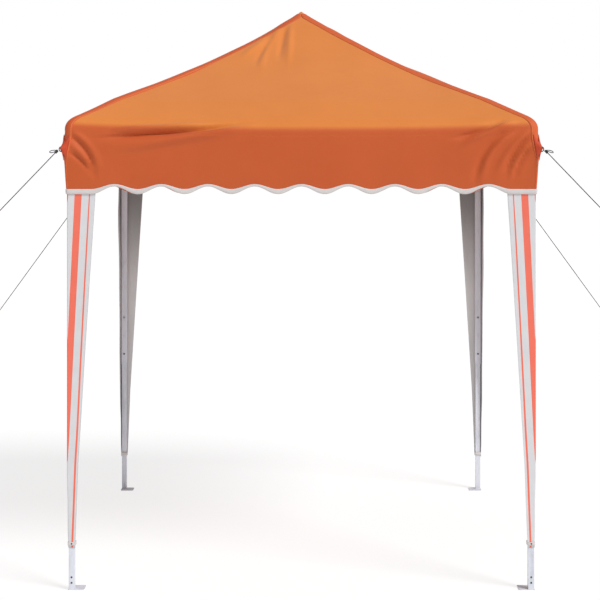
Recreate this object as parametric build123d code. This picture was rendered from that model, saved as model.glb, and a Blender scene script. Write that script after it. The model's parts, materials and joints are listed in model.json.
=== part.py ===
from build123d import *
import os

# A folding tent: fabric roof and valance on a scissor frame with four telescoping legs.
# Millimetres, +Z up, origin on the ground at the middle of the four feet, front towards -Y.
# One side of the frame is drawn facing the front and turned to make the other three, and one
# corner is drawn at the front left and mirrored to make the other three.

# --- footprint and heights
LEG_HALF = 970.0  # from the middle of the tent to a leg's axis
ROOF_HALF = 1000.0  # from the middle to the outside of the valance
TOP_PIVOT_Z = 1920.0
BOTTOM_PIVOT_Z = 1730.0

# --- scissor bars: hollow flat bars in two layers
BAR_HIGH = 20.0
BAR_THICK = 10.0
BAR_WALL = 0.6
LAYER = 5.75  # from the plane of a scissor to the middle of either layer
PIN_RADIUS = 3.0
PIN_PLAY = 0.05
HEAD_RADIUS = 5.0
HEAD_THICK = 1.2
SIDE_PLAY = 0.3  # between a bar and the head or plate beside it

# --- forks that hold the bars' ends
HUB_REACH = 40.0
CORNER_REACH = 40.0
MIDDLE_REACH = 30.0
PLATE = 2.5
FORK_HIGH = 24.0
FORK_GAP = BAR_THICK + 2 * SIDE_PLAY
FORK_WIDE = FORK_GAP + 2 * PLATE
END_ROOM = 1.0  # between a bar's round end and the web of its fork

# --- peak pole
POLE_RADIUS = 12.5
POLE_WALL = 1.0
POLE_PLAY = 0.1
POLE_FOOT_Z = 1732.3
POLE_TOP_Z = 2488.0
CAP_RADIUS = 38.0
CAP_HIGH = 24.0
CAP_ROUND = 20.4
SOCKET_FLOOR_Z = 1732.0

# --- legs: square tubes, the lower sliding in the upper
UPPER_WIDE = 30.0
LOWER_WIDE = 25.0
TUBE_WALL = 0.8
UPPER_BOTTOM_Z = 692.0
UPPER_TOP_Z = 1946.0
LOWER_TOP_Z = 850.0
BUSH_PLAY = 0.15
BUSH_DEEP = 22.0
BUSH_LIP = 5.0
LIP_PROUD = 0.5
PLUG_DEEP = 18.0
PLUG_LIP = 6.0
HOLE_RADIUS = 5.0
HOLE_PITCH = 100.0
BUTTON_Z = 742.0
BUTTON_RADIUS = 4.6
BUTTON_PROUD = 3.2  # beyond the face of the upper tube
BUTTON_ROUND = 2.4
BUTTON_BACK = 2.4  # from the inside of the lower tube's wall to the button's flat back
LEAF_WIDE = 12.0
LEAF_THICK = 1.2
LEAF_LONG = 46.0

# --- corner bracket and slider, on the upper leg
BRACKET_HALF = 18.5
BRACKET_BOTTOM_Z = 1896.0
BRACKET_TOP_Z = 1951.0
KNOB_RADIUS = 11.0
KNOB_HIGH = 17.0
KNOB_ROUND = 8.8
SLIDER_HALF = 18.4
SLIDER_HIGH = 50.0
SLIDER_PLAY = 0.3
EDGE_ROUND = 3.0  # on the upright edges of bracket and slider

# --- foot: an angle riveted to the outside of the lower tube, with its plate pointing inwards
FOOT_PLATE = 3.0
FOOT_OUT = 15.0
FOOT_IN = 53.0
FOOT_UPSTAND = 72.0
FOOT_CORNER = 8.0
PEG_IN = 38.0  # from the leg's axis to the peg hole, each way
PEG_RADIUS = 5.0
RIVET_Z = (31.0, 54.5)
RIVET_RADIUS = 4.0
RIVET_HIGH = 1.6
RIVET_ROUND = 1.1

# --- canopy: half widths of the roof's rings and their heights, from the peak down to the eave
ROOF_RINGS = ((12.0, 2528.0), (220.0, 2388.0), (580.0, 2193.0), (ROOF_HALF, 1966.0))
FABRIC = 1.2
VALANCE_LOW_Z = 1670.0
SCALLOPS = 9
SCALLOP_PITCH = 197.0
SCALLOP_HIGH = 33.0

# --- corner curtain: two tapering wings on the outside faces of the leg
CURTAIN_PLAY = 0.9
CURTAIN_THICK = 1.5
CURTAIN_TOP_Z = 1700.0
CURTAIN_BOTTOM_Z = 180.0
# how far the wing's free edge is from the leg's axis, at each height
CURTAIN_EDGE = ((1700.0, 103.0), (1087.0, 63.0), (537.0, 29.0), (180.0, 13.5))

# --- guy ropes: straight and tight, from the eave's corner towards a peg outside the corner
ROPE_RADIUS = 2.0
ROPE_START = 1022.0
ROPE_START_Z = 1857.0
PEG_DISTANCE = 2560.0
FRONT_ROPE_LENGTH = 470.0
BACK_ROPE_LENGTH = 1560.0

SIDES = {"front": 0, "right": 90, "back": 180, "left": 270}
# which way each end of a side points, left end first, as the side is seen from outside
SIDE_ENDS = {
    "front": ("left", "right"),
    "right": ("front", "back"),
    "back": ("right", "left"),
    "left": ("back", "front"),
}
CORNERS = ("front_left", "front_right", "back_left", "back_right")


def across(radius, length):
    """A round bar along Y, centred."""
    return Rot(90, 0, 0) * Cylinder(radius, length)


def bar(start, end, mate, carries_pin):
    """A hollow bar with round ends between two pivots. It faces the other bar's layer along mate."""
    length = (Vector(*end) - Vector(*start)).length
    place = Plane(origin=start, x_dir=Vector(*end) - Vector(*start), z_dir=mate)
    outside = extrude(SlotCenterToCenter(length, BAR_HIGH), BAR_THICK / 2, both=True)
    hollow = extrude(
        SlotCenterToCenter(length, BAR_HIGH - 2 * BAR_WALL), BAR_THICK / 2 - BAR_WALL, both=True
    )
    shape = outside - hollow
    hole = Cylinder(PIN_RADIUS + PIN_PLAY, 2 * BAR_THICK)
    for x in (-length / 2, length / 2):
        shape -= Pos(x, 0, 0) * hole
    if carries_pin:
        shape += crossing_pin()
    else:
        shape -= hole
    return place * Pos(length / 2, 0, 0) * shape


def crossing_pin():
    """The rivet of a scissor's crossing: from the back of its own bar, past a washer and the mate bar."""
    back = -BAR_THICK / 2 - HEAD_THICK
    far = 2 * LAYER + BAR_THICK / 2 + SIDE_PLAY
    up = (Align.CENTER, Align.CENTER, Align.MIN)
    shaft = Pos(0, 0, back) * Cylinder(PIN_RADIUS, far + HEAD_THICK - back, align=up)
    heads = [Pos(0, 0, z) * Cylinder(HEAD_RADIUS, HEAD_THICK, align=up) for z in (back, far)]
    washer = Pos(0, 0, BAR_THICK / 2) * Cylinder(
        HEAD_RADIUS + 1, 2 * LAYER - BAR_THICK - SIDE_PLAY, align=up
    )
    return shaft + heads + washer


def fork(reach, layer):
    """A fork pointing along +X from the origin, round the layer at Y = layer, with the pin of its bar."""
    web = reach - BAR_HIGH / 2 - END_ROOM
    shape = Pos(web / 2, layer, 0) * Box(web, FORK_WIDE, FORK_HIGH)
    for side in (-1, 1):
        y = layer + side * (FORK_GAP + PLATE) / 2
        head_y = layer + side * (FORK_WIDE + HEAD_THICK) / 2
        shape += Pos(reach / 2, y, 0) * Box(reach, PLATE, FORK_HIGH)
        shape += Pos(reach, y, 0) * across(FORK_HIGH / 2, PLATE)
        shape += Pos(reach, head_y, 0) * across(HEAD_RADIUS, HEAD_THICK)
    return shape + Pos(reach, layer, 0) * across(PIN_RADIUS, FORK_WIDE)


def top_hub():
    """The middle of the frame: four forks round the sleeve that guides the peak pole."""
    shape = Cylinder(HUB_REACH - BAR_HIGH / 2 - END_ROOM, FORK_HIGH)
    for turn in SIDES.values():
        shape += Rot(0, 0, turn - 90) * fork(HUB_REACH, LAYER)
    shape -= Cylinder(POLE_RADIUS + POLE_PLAY, 2 * FORK_HIGH)
    return Pos(0, 0, TOP_PIVOT_Z) * shape


def lower_hub():
    """The hub that pushes the peak pole up: four forks round a socket open at the top."""
    shape = Cylinder(HUB_REACH - BAR_HIGH / 2 - END_ROOM, FORK_HIGH)
    for turn in SIDES.values():
        shape += Rot(0, 0, turn - 90) * fork(HUB_REACH, -LAYER)
    socket = Cylinder(
        POLE_RADIUS + 2 * POLE_PLAY, FORK_HIGH, align=(Align.CENTER, Align.CENTER, Align.MIN)
    )
    shape -= Pos(0, 0, SOCKET_FLOOR_Z - BOTTOM_PIVOT_Z) * socket
    return Pos(0, 0, BOTTOM_PIVOT_Z) * shape


def peak_pole():
    """A tube with a plug in its foot and a domed cap that carries the roof's peak."""
    up = (Align.CENTER, Align.CENTER, Align.MIN)
    inner = POLE_RADIUS - POLE_WALL
    high = POLE_TOP_Z - POLE_FOOT_Z
    tube = Cylinder(POLE_RADIUS, high, align=up) - Cylinder(inner, high, align=up)
    tube = Pos(0, 0, POLE_FOOT_Z) * tube
    plug = Pos(0, 0, POLE_FOOT_Z) * Cylinder(inner, PLUG_DEEP, align=up)
    dome = Cylinder(CAP_RADIUS, CAP_HIGH, align=up)
    dome = fillet(dome.edges().group_by(Axis.Z)[-1], CAP_ROUND)
    spigot = Pos(0, 0, -PLUG_DEEP) * Cylinder(inner, PLUG_DEEP, align=up)
    return [tube, plug, Pos(0, 0, POLE_TOP_Z) * (dome + spigot)]


def middle_connector(z, side_layer, inner_layer):
    """The front side's connector at height z: a fork to each side and one pointing in to the hub."""
    half = MIDDLE_REACH - BAR_HIGH / 2 - END_ROOM
    shape = Box(2 * half, 2 * half, FORK_HIGH)
    shape += fork(MIDDLE_REACH, side_layer)
    shape += Rot(0, 0, 180) * fork(MIDDLE_REACH, -side_layer)
    shape += Rot(0, 0, 90) * fork(MIDDLE_REACH, -inner_layer)
    return Pos(0, -LEG_HALF, z) * shape


def inner_bars():
    """The scissor from the hub to the front side: (bar that falls outwards, bar that rises outwards)."""
    near, far = -HUB_REACH, -(LEG_HALF - MIDDLE_REACH)
    falling = bar((LAYER, near, TOP_PIVOT_Z), (LAYER, far, BOTTOM_PIVOT_Z), (-1, 0, 0), True)
    rising = bar((-LAYER, near, BOTTOM_PIVOT_Z), (-LAYER, far, TOP_PIVOT_Z), (1, 0, 0), False)
    return falling, rising


def side_bars(towards):
    """The front side's scissor on one half, towards -1 or 1 in X: (bar to the slider, bar to the corner)."""
    near, far = towards * MIDDLE_REACH, towards * (LEG_HALF - CORNER_REACH)
    inside, outside = -LEG_HALF + LAYER, -LEG_HALF - LAYER
    to_slider = bar((near, inside, TOP_PIVOT_Z), (far, inside, BOTTOM_PIVOT_Z), (0, -1, 0), False)
    to_corner = bar((near, outside, BOTTOM_PIVOT_Z), (far, outside, TOP_PIVOT_Z), (0, 1, 0), True)
    return to_slider, to_corner


def two_forks(layer):
    """The pair of forks at a corner, along +X and +Y, both on the same side of their planes."""
    return fork(CORNER_REACH, layer) + Rot(0, 0, 90) * fork(CORNER_REACH, -layer)


def square_tube(wide, wall, bottom, top):
    """An upright square tube on the Z axis."""
    up = (Align.CENTER, Align.CENTER, Align.MIN)
    inner = wide - 2 * wall
    high = top - bottom
    return Pos(0, 0, bottom) * (Box(wide, wide, high, align=up) - Box(inner, inner, high, align=up))


def upper_leg():
    """The upper tube with its row of button holes, its bush at the bottom and the corner bracket on top."""
    up = (Align.CENTER, Align.CENTER, Align.MIN)
    tube = square_tube(UPPER_WIDE, TUBE_WALL, UPPER_BOTTOM_Z, UPPER_TOP_Z)
    for step in range(3):
        tube -= Pos(0, UPPER_WIDE / 2, BUTTON_Z + step * HOLE_PITCH) * across(HOLE_RADIUS, UPPER_WIDE / 2)
    bush = square_tube(
        UPPER_WIDE - 2 * TUBE_WALL,
        (UPPER_WIDE - LOWER_WIDE) / 2 - TUBE_WALL - BUSH_PLAY,
        UPPER_BOTTOM_Z,
        UPPER_BOTTOM_Z + BUSH_DEEP,
    )
    lip = square_tube(
        UPPER_WIDE + 2 * LIP_PROUD,
        LIP_PROUD + (UPPER_WIDE - LOWER_WIDE) / 2 - BUSH_PLAY,
        UPPER_BOTTOM_Z - BUSH_LIP,
        UPPER_BOTTOM_Z,
    )
    bracket = Pos(0, 0, BRACKET_BOTTOM_Z) * Box(
        2 * BRACKET_HALF, 2 * BRACKET_HALF, BRACKET_TOP_Z - BRACKET_BOTTOM_Z, align=up
    )
    bracket = fillet(bracket.edges().filter_by(Axis.Z), EDGE_ROUND)
    bracket += Pos(0, 0, TOP_PIVOT_Z) * two_forks(-LAYER)
    knob = Cylinder(KNOB_RADIUS, KNOB_HIGH, align=up)
    knob = fillet(knob.edges().group_by(Axis.Z)[-1], KNOB_ROUND)
    bracket += Pos(0, 0, BRACKET_TOP_Z) * knob
    pocket = Box(UPPER_WIDE, UPPER_WIDE, UPPER_TOP_Z - BRACKET_BOTTOM_Z, align=up)
    bracket -= Pos(0, 0, BRACKET_BOTTOM_Z) * pocket
    return [tube, bush + lip, bracket]


def slider():
    """The collar that slides on the upper tube and holds the lower ends of two side bars."""
    shape = Box(2 * SLIDER_HALF, 2 * SLIDER_HALF, SLIDER_HIGH)
    shape = fillet(shape.edges().filter_by(Axis.Z), EDGE_ROUND)
    shape += two_forks(LAYER)
    bore = UPPER_WIDE + 2 * SLIDER_PLAY
    return Pos(0, 0, BOTTOM_PIVOT_Z) * (shape - Box(bore, bore, 2 * SLIDER_HIGH))


def foot_angle():
    """The riveted angle: upstand on the outside face, plate under the tube, with the peg hole inwards."""
    up = (Align.CENTER, Align.CENTER, Align.MIN)
    wide = FOOT_OUT + FOOT_IN
    middle = (FOOT_IN - FOOT_OUT) / 2
    plate = Pos(middle, middle, 0) * Box(wide, wide, FOOT_PLATE, align=up)
    inner_corner = plate.edges().filter_by(Axis.Z).sort_by(lambda e: e.center().X + e.center().Y)
    plate = fillet(inner_corner[1:], FOOT_CORNER)
    plate -= Pos(PEG_IN, PEG_IN, 0) * Cylinder(PEG_RADIUS, 4 * FOOT_PLATE)
    thick = FOOT_OUT - LOWER_WIDE / 2
    upstand = Box(LOWER_WIDE, thick, FOOT_UPSTAND, align=up)
    return plate + Pos(0, -LOWER_WIDE / 2 - thick / 2, 0) * upstand


def lower_leg():
    """The lower tube, its guide plug at the top and the foot angle with two rivets."""
    tube = square_tube(LOWER_WIDE, TUBE_WALL, FOOT_PLATE, LOWER_TOP_Z)
    tube -= Pos(0, LOWER_WIDE / 2, BUTTON_Z) * across(BUTTON_RADIUS + PIN_PLAY, LOWER_WIDE / 2)
    plug_wide = UPPER_WIDE - 2 * TUBE_WALL - 4 * BUSH_PLAY
    inner = LOWER_WIDE - 2 * TUBE_WALL
    up = (Align.CENTER, Align.CENTER, Align.MIN)
    down = (Align.CENTER, Align.CENTER, Align.MAX)
    plug = Box(plug_wide, plug_wide, PLUG_LIP, align=up) + Box(inner, inner, PLUG_DEEP, align=down)
    plug = Pos(0, 0, LOWER_TOP_Z) * plug
    rivets = []
    for z in RIVET_Z:
        head = Cylinder(RIVET_RADIUS, RIVET_HIGH, align=up)
        head = fillet(head.edges().group_by(Axis.Z)[-1], RIVET_ROUND)
        rivets.append(Pos(0, -FOOT_OUT, z) * Rot(90, 0, 0) * head)
    return [tube, plug, foot_angle(), *rivets]


def snap_button():
    """A round button through both tubes, on a spring leaf inside the lower tube."""
    face = UPPER_WIDE / 2
    back = LOWER_WIDE / 2 - TUBE_WALL - BUTTON_BACK
    up = (Align.CENTER, Align.CENTER, Align.MIN)
    pin = Cylinder(BUTTON_RADIUS, face + BUTTON_PROUD - back, align=up)
    pin = fillet(pin.edges().group_by(Axis.Z)[-1], BUTTON_ROUND)
    leaf = Pos(0, back - LEAF_THICK / 2, 0) * Box(LEAF_WIDE, LEAF_THICK, LEAF_LONG)
    return Pos(0, 0, BUTTON_Z) * (Pos(0, back, 0) * Rot(-90, 0, 0) * pin + leaf)


def curtain():
    """Two flat wings that meet along the leg's outside edge and taper towards the foot."""
    inner = UPPER_WIDE / 2 + CURTAIN_PLAY
    outer = inner + CURTAIN_THICK
    edge = [(x, z) for z, x in CURTAIN_EDGE]
    wings = []
    for start, swap in ((-outer, False), (-inner, True)):
        outline = [(start, CURTAIN_TOP_Z), *edge, (start, CURTAIN_BOTTOM_Z)]
        face = make_face(Polyline(*outline, close=True))
        front = Plane(origin=(0, -inner, 0), x_dir=(1, 0, 0), z_dir=(0, -1, 0))
        wing = front * extrude(face, CURTAIN_THICK)
        if swap:
            wing = mirror(wing, Plane((0, 0, 0), x_dir=(0, 0, 1), z_dir=(1, -1, 0)))
        wings.append(wing)
    return wings


def guy_rope(length):
    """A tight straight rope from the eave's front left corner, along the line to its peg."""
    start = Vector(-ROPE_START, -ROPE_START, ROPE_START_Z)
    peg = Vector(-PEG_DISTANCE, -PEG_DISTANCE, 0)
    place = Plane(origin=start, z_dir=peg - start)
    return place * Cylinder(ROPE_RADIUS, length, align=(Align.CENTER, Align.CENTER, Align.MIN))


def ring(half, z):
    """A level square of the given half width."""
    return Plane.XY.offset(z) * Rectangle(2 * half, 2 * half)


def roof_gores():
    """The roof: each tier between two rings, cut along the hips into four thin sloping slabs."""
    far = 2 * ROOF_HALF
    quarter = make_face(Polyline((0, 0), (far, -far), (far, far), close=True))
    # a three-cornered column round the whole height of the roof, which starts above ROOF_HALF
    wedge = Pos(0, 0, ROOF_HALF) * extrude(quarter, far)
    gores = []
    for (top_half, top_z), (low_half, low_z) in zip(ROOF_RINGS, ROOF_RINGS[1:]):
        # the peak's tier is closed on top, and the others are open there
        open_by = 0 if top_half == ROOF_RINGS[0][0] else FABRIC
        run = (low_half - top_half) / (top_z - low_z)
        inside_top = ring(top_half - open_by * run, top_z - FABRIC + open_by)
        outside = loft([ring(low_half, low_z).face(), ring(top_half, top_z).face()])
        inside = loft([ring(low_half, low_z - FABRIC).face(), inside_top.face()])
        for turn in SIDES.values():
            gores.append((outside - inside) & (Rot(0, 0, turn) * wedge))
    return gores


def valance_wall(half_width):
    """One hanging wall on the front side: level at the corners, with a scalloped lower edge between."""
    low, mid, high = (VALANCE_LOW_Z + SCALLOP_HIGH * share for share in (0, 0.5, 1))
    quarter = SCALLOP_PITCH / 4
    first = -SCALLOPS * SCALLOP_PITCH / 2
    top = ROOF_RINGS[-1][1] - FABRIC
    edge = [
        Line((-half_width, top), (-half_width, low)),
        Line((-half_width, low), (first, low)),
        TangentArc((first, low), (first + quarter, mid), tangent=(1, 0)),
    ]
    for n in range(SCALLOPS):
        x = first + n * SCALLOP_PITCH
        edge.append(ThreePointArc((x + quarter, mid), (x + 2 * quarter, high), (x + 3 * quarter, mid)))
        if n < SCALLOPS - 1:
            crest_end, next_start = x + 3 * quarter, x + 5 * quarter
            edge.append(ThreePointArc((crest_end, mid), (x + 4 * quarter, low), (next_start, mid)))
    edge += [
        TangentArc((-first, low), (-first - quarter, mid), tangent=(-1, 0)),
        Line((-first, low), (half_width, low)),
        Line((half_width, low), (half_width, top)),
        Line((half_width, top), (-half_width, top)),
    ]
    face = make_face(Wire(edge))
    front = Plane(origin=(0, FABRIC - ROOF_HALF, 0), x_dir=(1, 0, 0), z_dir=(0, -1, 0))
    return front * extrude(face, FABRIC)


def canopy():
    """Roof slabs and four valance walls. Front and back walls run the full width, past the side walls."""
    walls = []
    for turn in SIDES.values():
        half = ROOF_HALF if turn % 180 == 0 else ROOF_HALF - FABRIC
        walls.append(Rot(0, 0, turn) * valance_wall(half))
    return roof_gores() + walls


def write(node, shape):
    """One STEP for a node. A list becomes separate solids in it."""
    if isinstance(shape, list):
        shape = Compound(children=[piece for part in shape for piece in part.solids()])
    export_step(shape, os.path.join("parts", node + ".step"))


def write_frame():
    """The hub, the pole and every scissor bar and connector."""
    write("top_hub", top_hub())
    write("lower_hub", lower_hub())
    write("peak_pole", peak_pole())
    falling, rising = inner_bars()
    top = middle_connector(TOP_PIVOT_Z, LAYER, -LAYER)
    bottom = middle_connector(BOTTOM_PIVOT_Z, -LAYER, LAYER)
    halves = (side_bars(-1), side_bars(1))
    for side, turn in SIDES.items():
        turned = Rot(0, 0, turn)
        write(f"{side}_inner_bar_falling", turned * falling)
        write(f"{side}_inner_bar_rising", turned * rising)
        write(f"{side}_top_connector", turned * top)
        write(f"{side}_bottom_connector", turned * bottom)
        for end, (to_slider, to_corner) in zip(SIDE_ENDS[side], halves):
            write(f"{side}_side_{end}_bar_to_slider", turned * to_slider)
            write(f"{side}_side_{end}_bar_to_corner", turned * to_corner)


def at_corner(shape, corner, placed):
    """Solids drawn for the front left corner, moved onto the leg's axis unless placed, then mirrored."""
    parts = shape if isinstance(shape, list) else [shape]
    here = []
    for piece in parts:
        piece = piece if placed else Pos(-LEG_HALF, -LEG_HALF, 0) * piece
        if corner.endswith("right"):
            piece = mirror(piece, Plane.YZ)
        if corner.startswith("back"):
            piece = mirror(piece, Plane.XZ)
        here.append(piece)
    return here


def write_corners():
    """Everything at the four corners."""
    pieces = {
        "upper_leg": upper_leg(),
        "lower_leg": lower_leg(),
        "slider": slider(),
        "snap_button": snap_button(),
        "curtain": curtain(),
    }
    ropes = {"front": guy_rope(FRONT_ROPE_LENGTH), "back": guy_rope(BACK_ROPE_LENGTH)}
    for corner in CORNERS:
        for name, shape in pieces.items():
            write(f"{corner}_{name}", at_corner(shape, corner, False))
        write(f"{corner}_guy_rope", at_corner(ropes[corner.split("_")[0]], corner, True))


os.makedirs("parts", exist_ok=True)
write_frame()
write_corners()
write("canopy", canopy())
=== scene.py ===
import json
from math import cos, hypot, pi, radians, sin

import bmesh
import bpy
import numpy as np
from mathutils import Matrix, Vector

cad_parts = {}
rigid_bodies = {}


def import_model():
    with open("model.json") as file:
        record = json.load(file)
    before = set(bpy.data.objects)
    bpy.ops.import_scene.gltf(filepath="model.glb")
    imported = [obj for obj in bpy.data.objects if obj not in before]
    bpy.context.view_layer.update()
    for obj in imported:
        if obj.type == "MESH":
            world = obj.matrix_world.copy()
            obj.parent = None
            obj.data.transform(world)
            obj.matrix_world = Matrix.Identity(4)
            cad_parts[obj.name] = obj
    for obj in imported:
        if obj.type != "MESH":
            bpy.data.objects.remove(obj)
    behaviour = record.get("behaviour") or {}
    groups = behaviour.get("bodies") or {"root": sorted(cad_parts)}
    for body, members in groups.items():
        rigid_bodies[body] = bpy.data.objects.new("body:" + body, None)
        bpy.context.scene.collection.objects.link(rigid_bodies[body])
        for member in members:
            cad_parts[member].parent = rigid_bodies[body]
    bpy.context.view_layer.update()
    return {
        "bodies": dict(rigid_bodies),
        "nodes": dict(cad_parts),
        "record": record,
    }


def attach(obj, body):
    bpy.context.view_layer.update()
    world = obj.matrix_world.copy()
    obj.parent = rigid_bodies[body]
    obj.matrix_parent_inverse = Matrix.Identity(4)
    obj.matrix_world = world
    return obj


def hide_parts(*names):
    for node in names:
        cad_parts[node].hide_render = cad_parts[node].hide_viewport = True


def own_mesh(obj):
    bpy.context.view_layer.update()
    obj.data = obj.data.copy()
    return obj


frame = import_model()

# A folding tent: fabric roof and valance over a scissor frame on four telescoping legs.
# Metres, +Z up, front towards -Y. The fabric, trim, gussets, curtains and ropes are made here,
# and the hard parts come from the frame and get their finish here.

# --- canopy
ROOF_HALF = 1.0
PEAK_Z = 2.530
EAVE_Z = 1.990
ROOF_SAG = 0.028
SAG_END = 0.82
EAVE_DIP = 0.022
EAVE_START = 0.962
VALANCE_TOP_Z = 1.938
HIP_RADIUS = 0.048
CORNER_RADIUS = 0.034
HEM_RADIUS = 0.008
CLOTH = 0.0012
HIP_CROWN = 0.0024
ROOF_RUN = 1.128  # along the cloth, from the peak to the eave
HIP_END = 0.985  # the share at which a hip without sag would reach the eave's height

# --- the valance's lower edge
SCALLOP_PITCH = 0.197
SCALLOP_SPAN = 4.5 * SCALLOP_PITCH
TRIM_LOW_Z = 1.671
TRIM_WAVE = 0.0163
SEAM_LOW_Z = 1.693
SEAM_WAVE = 0.0105

# --- legs and curtains
LEG_HALF = 0.970
TUBE_HALF = 0.0151
FOOT_OUT = 0.0151
BRACKET_BOTTOM_Z = 1.890
TUBE_TOP_Z = 1.9465
CURTAIN_TOP_Z = 1.700
CURTAIN_BOTTOM_Z = 0.180
CURTAIN_EDGE = ((0.180, 0.0150), (0.537, 0.029), (1.087, 0.063), (1.700, 0.103))
CURTAIN_HANG = CURTAIN_TOP_Z - CURTAIN_BOTTOM_Z
STRAP_Z = 0.196
STRAP_HALF = 0.0159
STRAP_RISE = 0.007

# --- folding
PLEAT_PITCH = 0.24
PLEAT_PROUD = 0.085
RIDGE_PITCH = 0.18
RIDGE_PROUD = 0.30
POLE_FOLLOW_Z = 1.992
POLE_FOLLOW_RISE = 0.54

# --- camera
CAMERA_PLACE = (-0.006, -7.47, 1.85)
CAMERA_LENS = 92.2
CAMERA_SHIFT = -0.247

# --- light
SURROUND = 0.40
KEY_STRENGTH = 2.6
KEY_FROM = (0.56, -0.46, 0.70)

# --- guy ropes
ROPE_START = Vector((1.022, 1.022, 1.857))
ROPE_PEG = Vector((2.560, 2.560, 0.0))
ROPE_LENGTH = {"front": 0.470, "back": 1.560}
ROPE_DIAMETER = 0.004

CORNERS = {
    "front_left": (-1, -1),
    "front_right": (1, -1),
    "back_right": (1, 1),
    "back_left": (-1, 1),
}
CORNER_AFTER_SIDE = {"front_right": 0, "back_right": 1, "back_left": 2, "front_left": 3}


# ---------------------------------------------------------------- materials
class Shader:
    """A material's node tree, with short ways to add the nodes that the finishes below share."""

    def __init__(self, name, **constants):
        self.material = bpy.data.materials.new(name)
        self.material.use_nodes = True
        self.tree = self.material.node_tree
        self.bsdf = self.tree.nodes["Principled BSDF"]
        for socket, value in constants.items():
            self.bsdf.inputs[socket.replace("_", " ")].default_value = value

    def node(self, kind, inputs=(), **settings):
        made = self.tree.nodes.new(kind)
        for key, value in settings.items():
            setattr(made, key, value)
        for key, value in dict(inputs).items():
            if isinstance(value, bpy.types.NodeSocket):
                self.tree.links.new(value, made.inputs[key])
            else:
                made.inputs[key].default_value = value
        return made

    def place(self, scale=(1, 1, 1), source="Object"):
        """Texture coordinates, scaled."""
        if source == "UV":
            start = self.node("ShaderNodeUVMap", uv_map="cloth").outputs["UV"]
        else:
            start = self.node("ShaderNodeTexCoord").outputs[source]
        return self.node("ShaderNodeMapping", {"Vector": start, "Scale": scale}).outputs["Vector"]

    def noise(self, vector, scale, detail=3.0, rough=0.5):
        inputs = {"Vector": vector, "Scale": scale, "Detail": detail, "Roughness": rough}
        return self.node("ShaderNodeTexNoise", inputs).outputs["Fac"]

    def wave(self, vector, scale, direction):
        inputs = {"Vector": vector, "Scale": scale, "Distortion": 0.0}
        made = self.node("ShaderNodeTexWave", inputs, wave_type="BANDS", bands_direction=direction)
        return made.outputs["Fac"]

    def maths(self, how, a, b=0.0, clamp=False):
        return self.node("ShaderNodeMath", {0: a, 1: b}, operation=how, use_clamp=clamp).outputs[0]

    def remap(self, value, low, high, to_low, to_high, smooth=False):
        inputs = {"Value": value, "From Min": low, "From Max": high, "To Min": to_low, "To Max": to_high}
        kind = "SMOOTHSTEP" if smooth else "LINEAR"
        return self.node("ShaderNodeMapRange", inputs, interpolation_type=kind).outputs["Result"]

    def mix(self, share, a, b):
        made = self.node("ShaderNodeMix", data_type="RGBA")
        for socket, value in ((made.inputs[0], share), (made.inputs[6], a), (made.inputs[7], b)):
            if isinstance(value, bpy.types.NodeSocket):
                self.tree.links.new(value, socket)
            else:
                socket.default_value = value
        return made.outputs[2]

    def bump(self, height, distance, strength=1.0, under=None):
        inputs = {"Height": height, "Distance": distance, "Strength": strength}
        if under is not None:
            inputs["Normal"] = under
        return self.node("ShaderNodeBump", inputs).outputs["Normal"]

    def finish(self, **links):
        for socket, value in links.items():
            self.tree.links.new(value, self.bsdf.inputs[socket.replace("_", " ")])
        return self.material


def rgb(red, green, blue):
    """A colour from its display values, 0 to 255, as the linear colour that a shader takes."""
    linear = [((c / 255 + 0.055) / 1.055) ** 2.4 if c > 10 else c / 255 / 12.92 for c in (red, green, blue)]
    return (*linear, 1.0)


def woven(shader, threads):
    """Bump of a plain weave on the cloth's own coordinates, and a slow unevenness on top."""
    cloth = shader.place(source="UV")
    warp = shader.wave(cloth, threads, "X")
    weft = shader.wave(cloth, threads, "Y")
    weave = shader.maths("MULTIPLY", warp, weft)
    slubs = shader.noise(cloth, 900.0, 2.0)
    height = shader.maths("ADD", weave, shader.maths("MULTIPLY", slubs, 0.6))
    fine = shader.bump(height, 0.0002, 0.35)
    rumple = shader.noise(shader.place(), 14.0, 4.0, 0.55)
    return shader.bump(rumple, 0.004, 0.35, fine)


def canopy_material():
    """Coated orange polyester: matt, its tone varying in patches, with painted light: the roof is a
    lighter, yellower orange than the hanging valance.
    """
    shader = Shader("canopy_cloth", Roughness=0.62, Sheen_Weight=0.12, Sheen_Roughness=0.5)
    shader.bsdf.inputs["Specular IOR Level"].default_value = 0.28
    spots = shader.noise(shader.place(), 3.0, 4.0, 0.6)
    fibres = shader.noise(shader.place((600, 600, 60)), 1.0, 2.0)
    most, rest = shader.maths("MULTIPLY", spots, 0.75), shader.maths("MULTIPLY", fibres, 0.25)
    share = shader.maths("ADD", most, rest)
    share = shader.remap(share, 0.3, 0.7, 0.0, 1.0)
    # painted light: the roof's lighter, yellower orange stands for the light falling on top; the valance
    # keeps the cloth's own tone
    painted_lit_roof = shader.mix(share, rgb(211, 122, 50), rgb(218, 129, 57))
    cloth_own_tone = shader.mix(share, rgb(188, 83, 36), rgb(196, 90, 42))
    # the way down the cloth: past the eave, the roof's painted light gives way to the cloth's own tone
    down = shader.node("ShaderNodeSeparateXYZ", {0: shader.place(source="UV")}).outputs["Y"]
    hanging = shader.remap(down, ROOF_RUN + 0.008, ROOF_RUN + 0.040, 0.0, 1.0, smooth=True)
    return shader.finish(Base_Color=shader.mix(hanging, painted_lit_roof, cloth_own_tone), Normal=woven(shader, 260.0))


def gusset_material():
    """The same cloth doubled, painted a deeper orange: painted shade."""
    shader = Shader("gusset_cloth_painted_shade", Roughness=0.66, Sheen_Weight=0.1)
    share = shader.noise(shader.place(), 60.0, 3.0)
    # painted shade: a deeper, redder orange than the canopy cloth's own tone
    colour = shader.mix(share, rgb(180, 50, 14), rgb(204, 72, 24))
    return shader.finish(Base_Color=colour, Normal=woven(shader, 260.0))


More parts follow.
